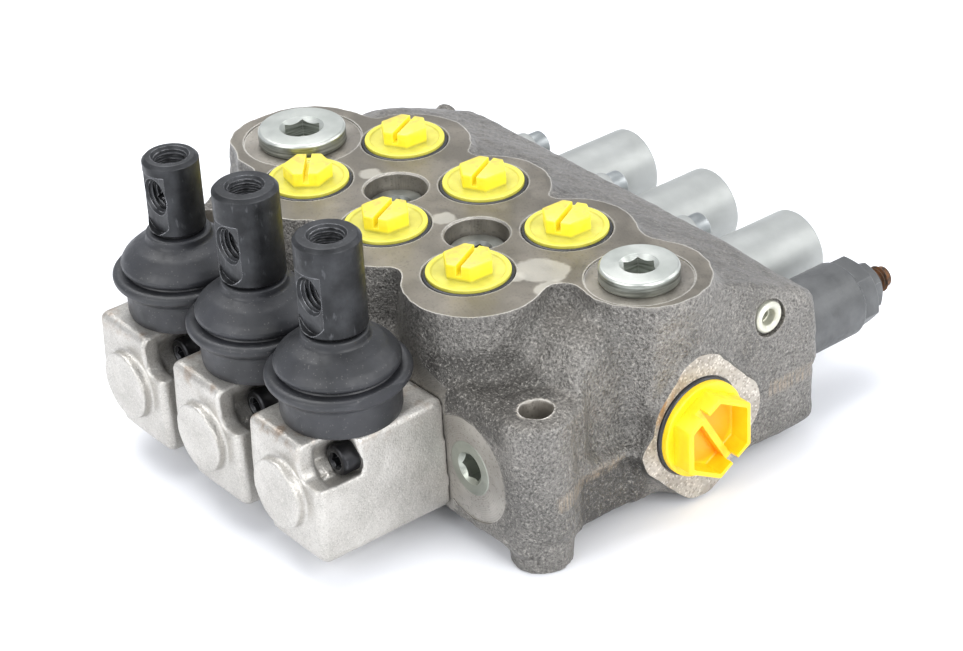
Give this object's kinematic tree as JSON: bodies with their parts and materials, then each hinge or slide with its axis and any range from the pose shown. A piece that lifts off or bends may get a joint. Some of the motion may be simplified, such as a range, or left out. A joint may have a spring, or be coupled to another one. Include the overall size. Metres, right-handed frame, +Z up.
{
  "type": "hydraulic monoblock valve",
  "caption": "Hand-operated hydraulic directional valve: a cast block with lever boxes in front, spring caps and a relief cartridge behind, and plugged ports on top.",
  "frame": {"origin": "bottom centre of the bounding box, on the plane of the feet", "axes": "+X along the row of spools towards the inlet, +Y along each spool from its lever to its spring cap, +Z up out of the port face"},
  "size_m": [0.1758, 0.1932, 0.0927],
  "materials": {
    "cast_iron": "sand-cast grain, machined faces bright",
    "zinc": "satin zinc plate",
    "aluminium": "bead-blasted casting",
    "black_steel": "black oxide, worn at the edges",
    "ground_steel": "ground",
    "spring_steel": "oiled wire",
    "rubber": "satin moulded rubber",
    "yellow_plastic": "translucent moulded plastic",
    "inlet_plastic": "moulded plastic",
    "pale_plate": "pale plated"
  },
  "bodies": {
    "housing": {"valve_body": "cast_iron", "port_plug_a1": "yellow_plastic", "port_plug_b1": "yellow_plastic", "lever_box_1": "aluminium", "box_screw_1_upper": "black_steel", "box_screw_1_lower": "black_steel", "ball_seat_1": "ground_steel", "boot_1": "rubber", "centring_spring_1": "spring_steel", "spring_cap_1": "zinc", "cap_screw_1_upper": "zinc", "cap_screw_1_lower": "zinc", "port_plug_a2": "yellow_plastic", "port_plug_b2": "yellow_plastic", "lever_box_2": "aluminium", "box_screw_2_upper": "black_steel", "box_screw_2_lower": "black_steel", "ball_seat_2": "ground_steel", "boot_2": "rubber", "centring_spring_2": "spring_steel", "spring_cap_2": "zinc", "cap_screw_2_upper": "zinc", "cap_screw_2_lower": "zinc", "port_plug_a3": "yellow_plastic", "port_plug_b3": "yellow_plastic", "lever_box_3": "aluminium", "box_screw_3_upper": "black_steel", "box_screw_3_lower": "black_steel", "ball_seat_3": "ground_steel", "boot_3": "rubber", "centring_spring_3": "spring_steel", "spring_cap_3": "zinc", "cap_screw_3_upper": "zinc", "cap_screw_3_lower": "zinc", "carry_over_port_plug": "zinc", "tank_port_plug": "zinc", "check_plug_1": "zinc", "check_spring_1": "spring_steel", "check_plug_2": "zinc", "check_spring_2": "spring_steel", "inlet_plug": "inlet_plastic", "inlet_plug_seal": "rubber", "gallery_plug": "zinc", "gallery_plug_seal": "rubber", "gauge_port_plug": "pale_plate", "relief_cartridge": "black_steel", "relief_spring_seat": "ground_steel", "relief_spring": "spring_steel"},
    "relief_lock_nut": {"relief_lock_nut": "black_steel"},
    "relief_screw": {"relief_screw": "black_steel"},
    "relief_poppet": {"relief_poppet": "ground_steel"},
    "check_poppet_1": {"check_poppet_1": "ground_steel"},
    "check_poppet_2": {"check_poppet_2": "ground_steel"},
    "lever_1": {"lever_1": "black_steel"},
    "spool_1": {"spool_1": "ground_steel"},
    "lever_2": {"lever_2": "black_steel"},
    "spool_2": {"spool_2": "ground_steel"},
    "lever_3": {"lever_3": "black_steel"},
    "spool_3": {"spool_3": "ground_steel"}
  },
  "joints": [
    {"name": "lever_1_tilt", "type": "hinge", "parent": "housing", "child": "lever_1", "pos_m": [-0.04416, -0.07355, 0.039], "axis": [1, 0, 0], "range_deg": [-19.4, 19.4], "stiffness_Nm_per_rad": 1.5, "deforming": ["boot_1"]},
    {"name": "spool_1_slide", "type": "slide", "parent": "housing", "child": "spool_1", "axis": [0, 1, 0], "range_m": [-0.005, 0.005], "deforming": ["centring_spring_1"]},
    {"name": "lever_2_tilt", "type": "hinge", "parent": "housing", "child": "lever_2", "pos_m": [-0.00816, -0.07355, 0.039], "axis": [1, 0, 0], "range_deg": [-19.4, 19.4], "stiffness_Nm_per_rad": 1.5, "deforming": ["boot_2"]},
    {"name": "spool_2_slide", "type": "slide", "parent": "housing", "child": "spool_2", "axis": [0, 1, 0], "range_m": [-0.005, 0.005], "deforming": ["centring_spring_2"]},
    {"name": "lever_3_tilt", "type": "hinge", "parent": "housing", "child": "lever_3", "pos_m": [0.02784, -0.07355, 0.039], "axis": [1, 0, 0], "range_deg": [-19.4, 19.4], "stiffness_Nm_per_rad": 1.5, "deforming": ["boot_3"]},
    {"name": "spool_3_slide", "type": "slide", "parent": "housing", "child": "spool_3", "axis": [0, 1, 0], "range_m": [-0.005, 0.005], "deforming": ["centring_spring_3"]},
    {"name": "check_poppet_1_lift", "type": "slide", "parent": "housing", "child": "check_poppet_1", "axis": [0, 0, 1], "range_m": [0, 0.003], "deforming": ["check_spring_1"]},
    {"name": "check_poppet_2_lift", "type": "slide", "parent": "housing", "child": "check_poppet_2", "axis": [0, 0, 1], "range_m": [0, 0.003], "deforming": ["check_spring_2"]},
    {"name": "relief_poppet_lift", "type": "slide", "parent": "housing", "child": "relief_poppet", "axis": [0, 1, 0], "range_m": [0, 0.002], "deforming": ["relief_spring"]},
    {"name": "relief_screw_turn", "type": "hinge", "parent": "housing", "child": "relief_screw", "pos_m": [0.05784, 0.08735, 0.0245], "axis": [0, 1, 0], "range_deg": [-540, 540]},
    {"name": "relief_lock_nut_turn", "type": "hinge", "parent": "housing", "child": "relief_lock_nut", "pos_m": [0.05784, 0.09135, 0.0245], "axis": [0, 1, 0], "range_deg": [0, 90]}
  ],
  "couplings": [
    {"joint": "spool_1_slide", "follows": "lever_1_tilt", "m_per_rad": 0.0147},
    {"joint": "spool_2_slide", "follows": "lever_2_tilt", "m_per_rad": 0.0147},
    {"joint": "spool_3_slide", "follows": "lever_3_tilt", "m_per_rad": 0.0147}
  ]
}
